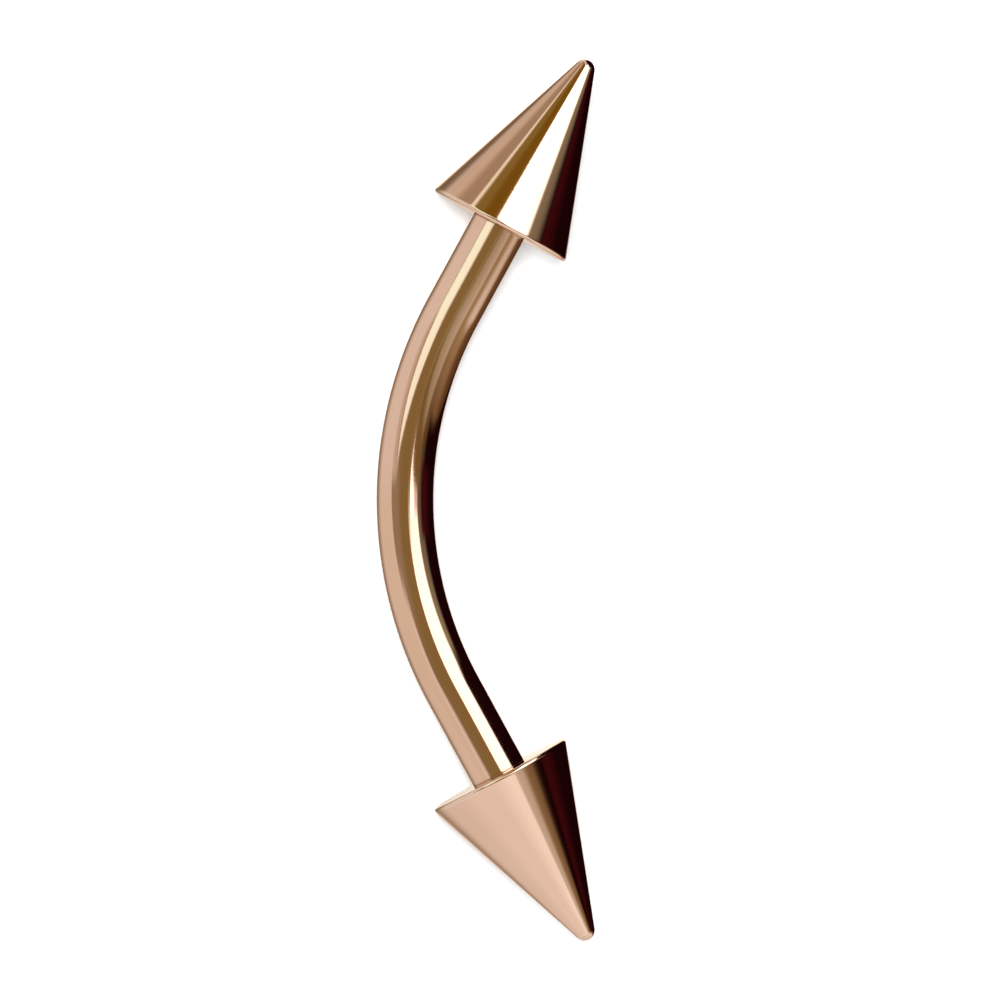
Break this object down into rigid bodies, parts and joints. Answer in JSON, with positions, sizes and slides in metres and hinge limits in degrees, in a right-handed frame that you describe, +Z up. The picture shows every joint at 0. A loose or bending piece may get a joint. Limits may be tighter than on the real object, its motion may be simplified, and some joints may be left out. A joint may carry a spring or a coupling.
{
  "type": "curved barbell with spike ends",
  "caption": "Curved barbell for a body piercing: a short bent round bar with a cone spike screwed on each end, in polished rose gold.",
  "frame": {"origin": "on the surface that the barbell lies on, under the centre of its box", "axes": "+Z up, +Y along the barbell towards the upper spike, -X towards the outside of the bend"},
  "size_m": [0.0042, 0.0186, 0.0031],
  "materials": {
    "rose_gold_bar": "polished",
    "rose_gold_spike": "polished"
  },
  "bodies": {
    "bar": {"curved_bar": "rose_gold_bar"},
    "upper_spike": {"upper_spike": "rose_gold_spike"},
    "lower_spike": {"lower_spike": "rose_gold_spike"}
  },
  "joints": [
    {"name": "upper_unscrew", "type": "slide", "parent": "bar", "child": "upper_spike", "axis": [0.426, 0.878, 0.2184], "range_m": [0, 0.0023]},
    {"name": "lower_unscrew", "type": "slide", "parent": "bar", "child": "lower_spike", "axis": [0.426, -0.878, 0.2184], "range_m": [0, 0.0023]}
  ]
}
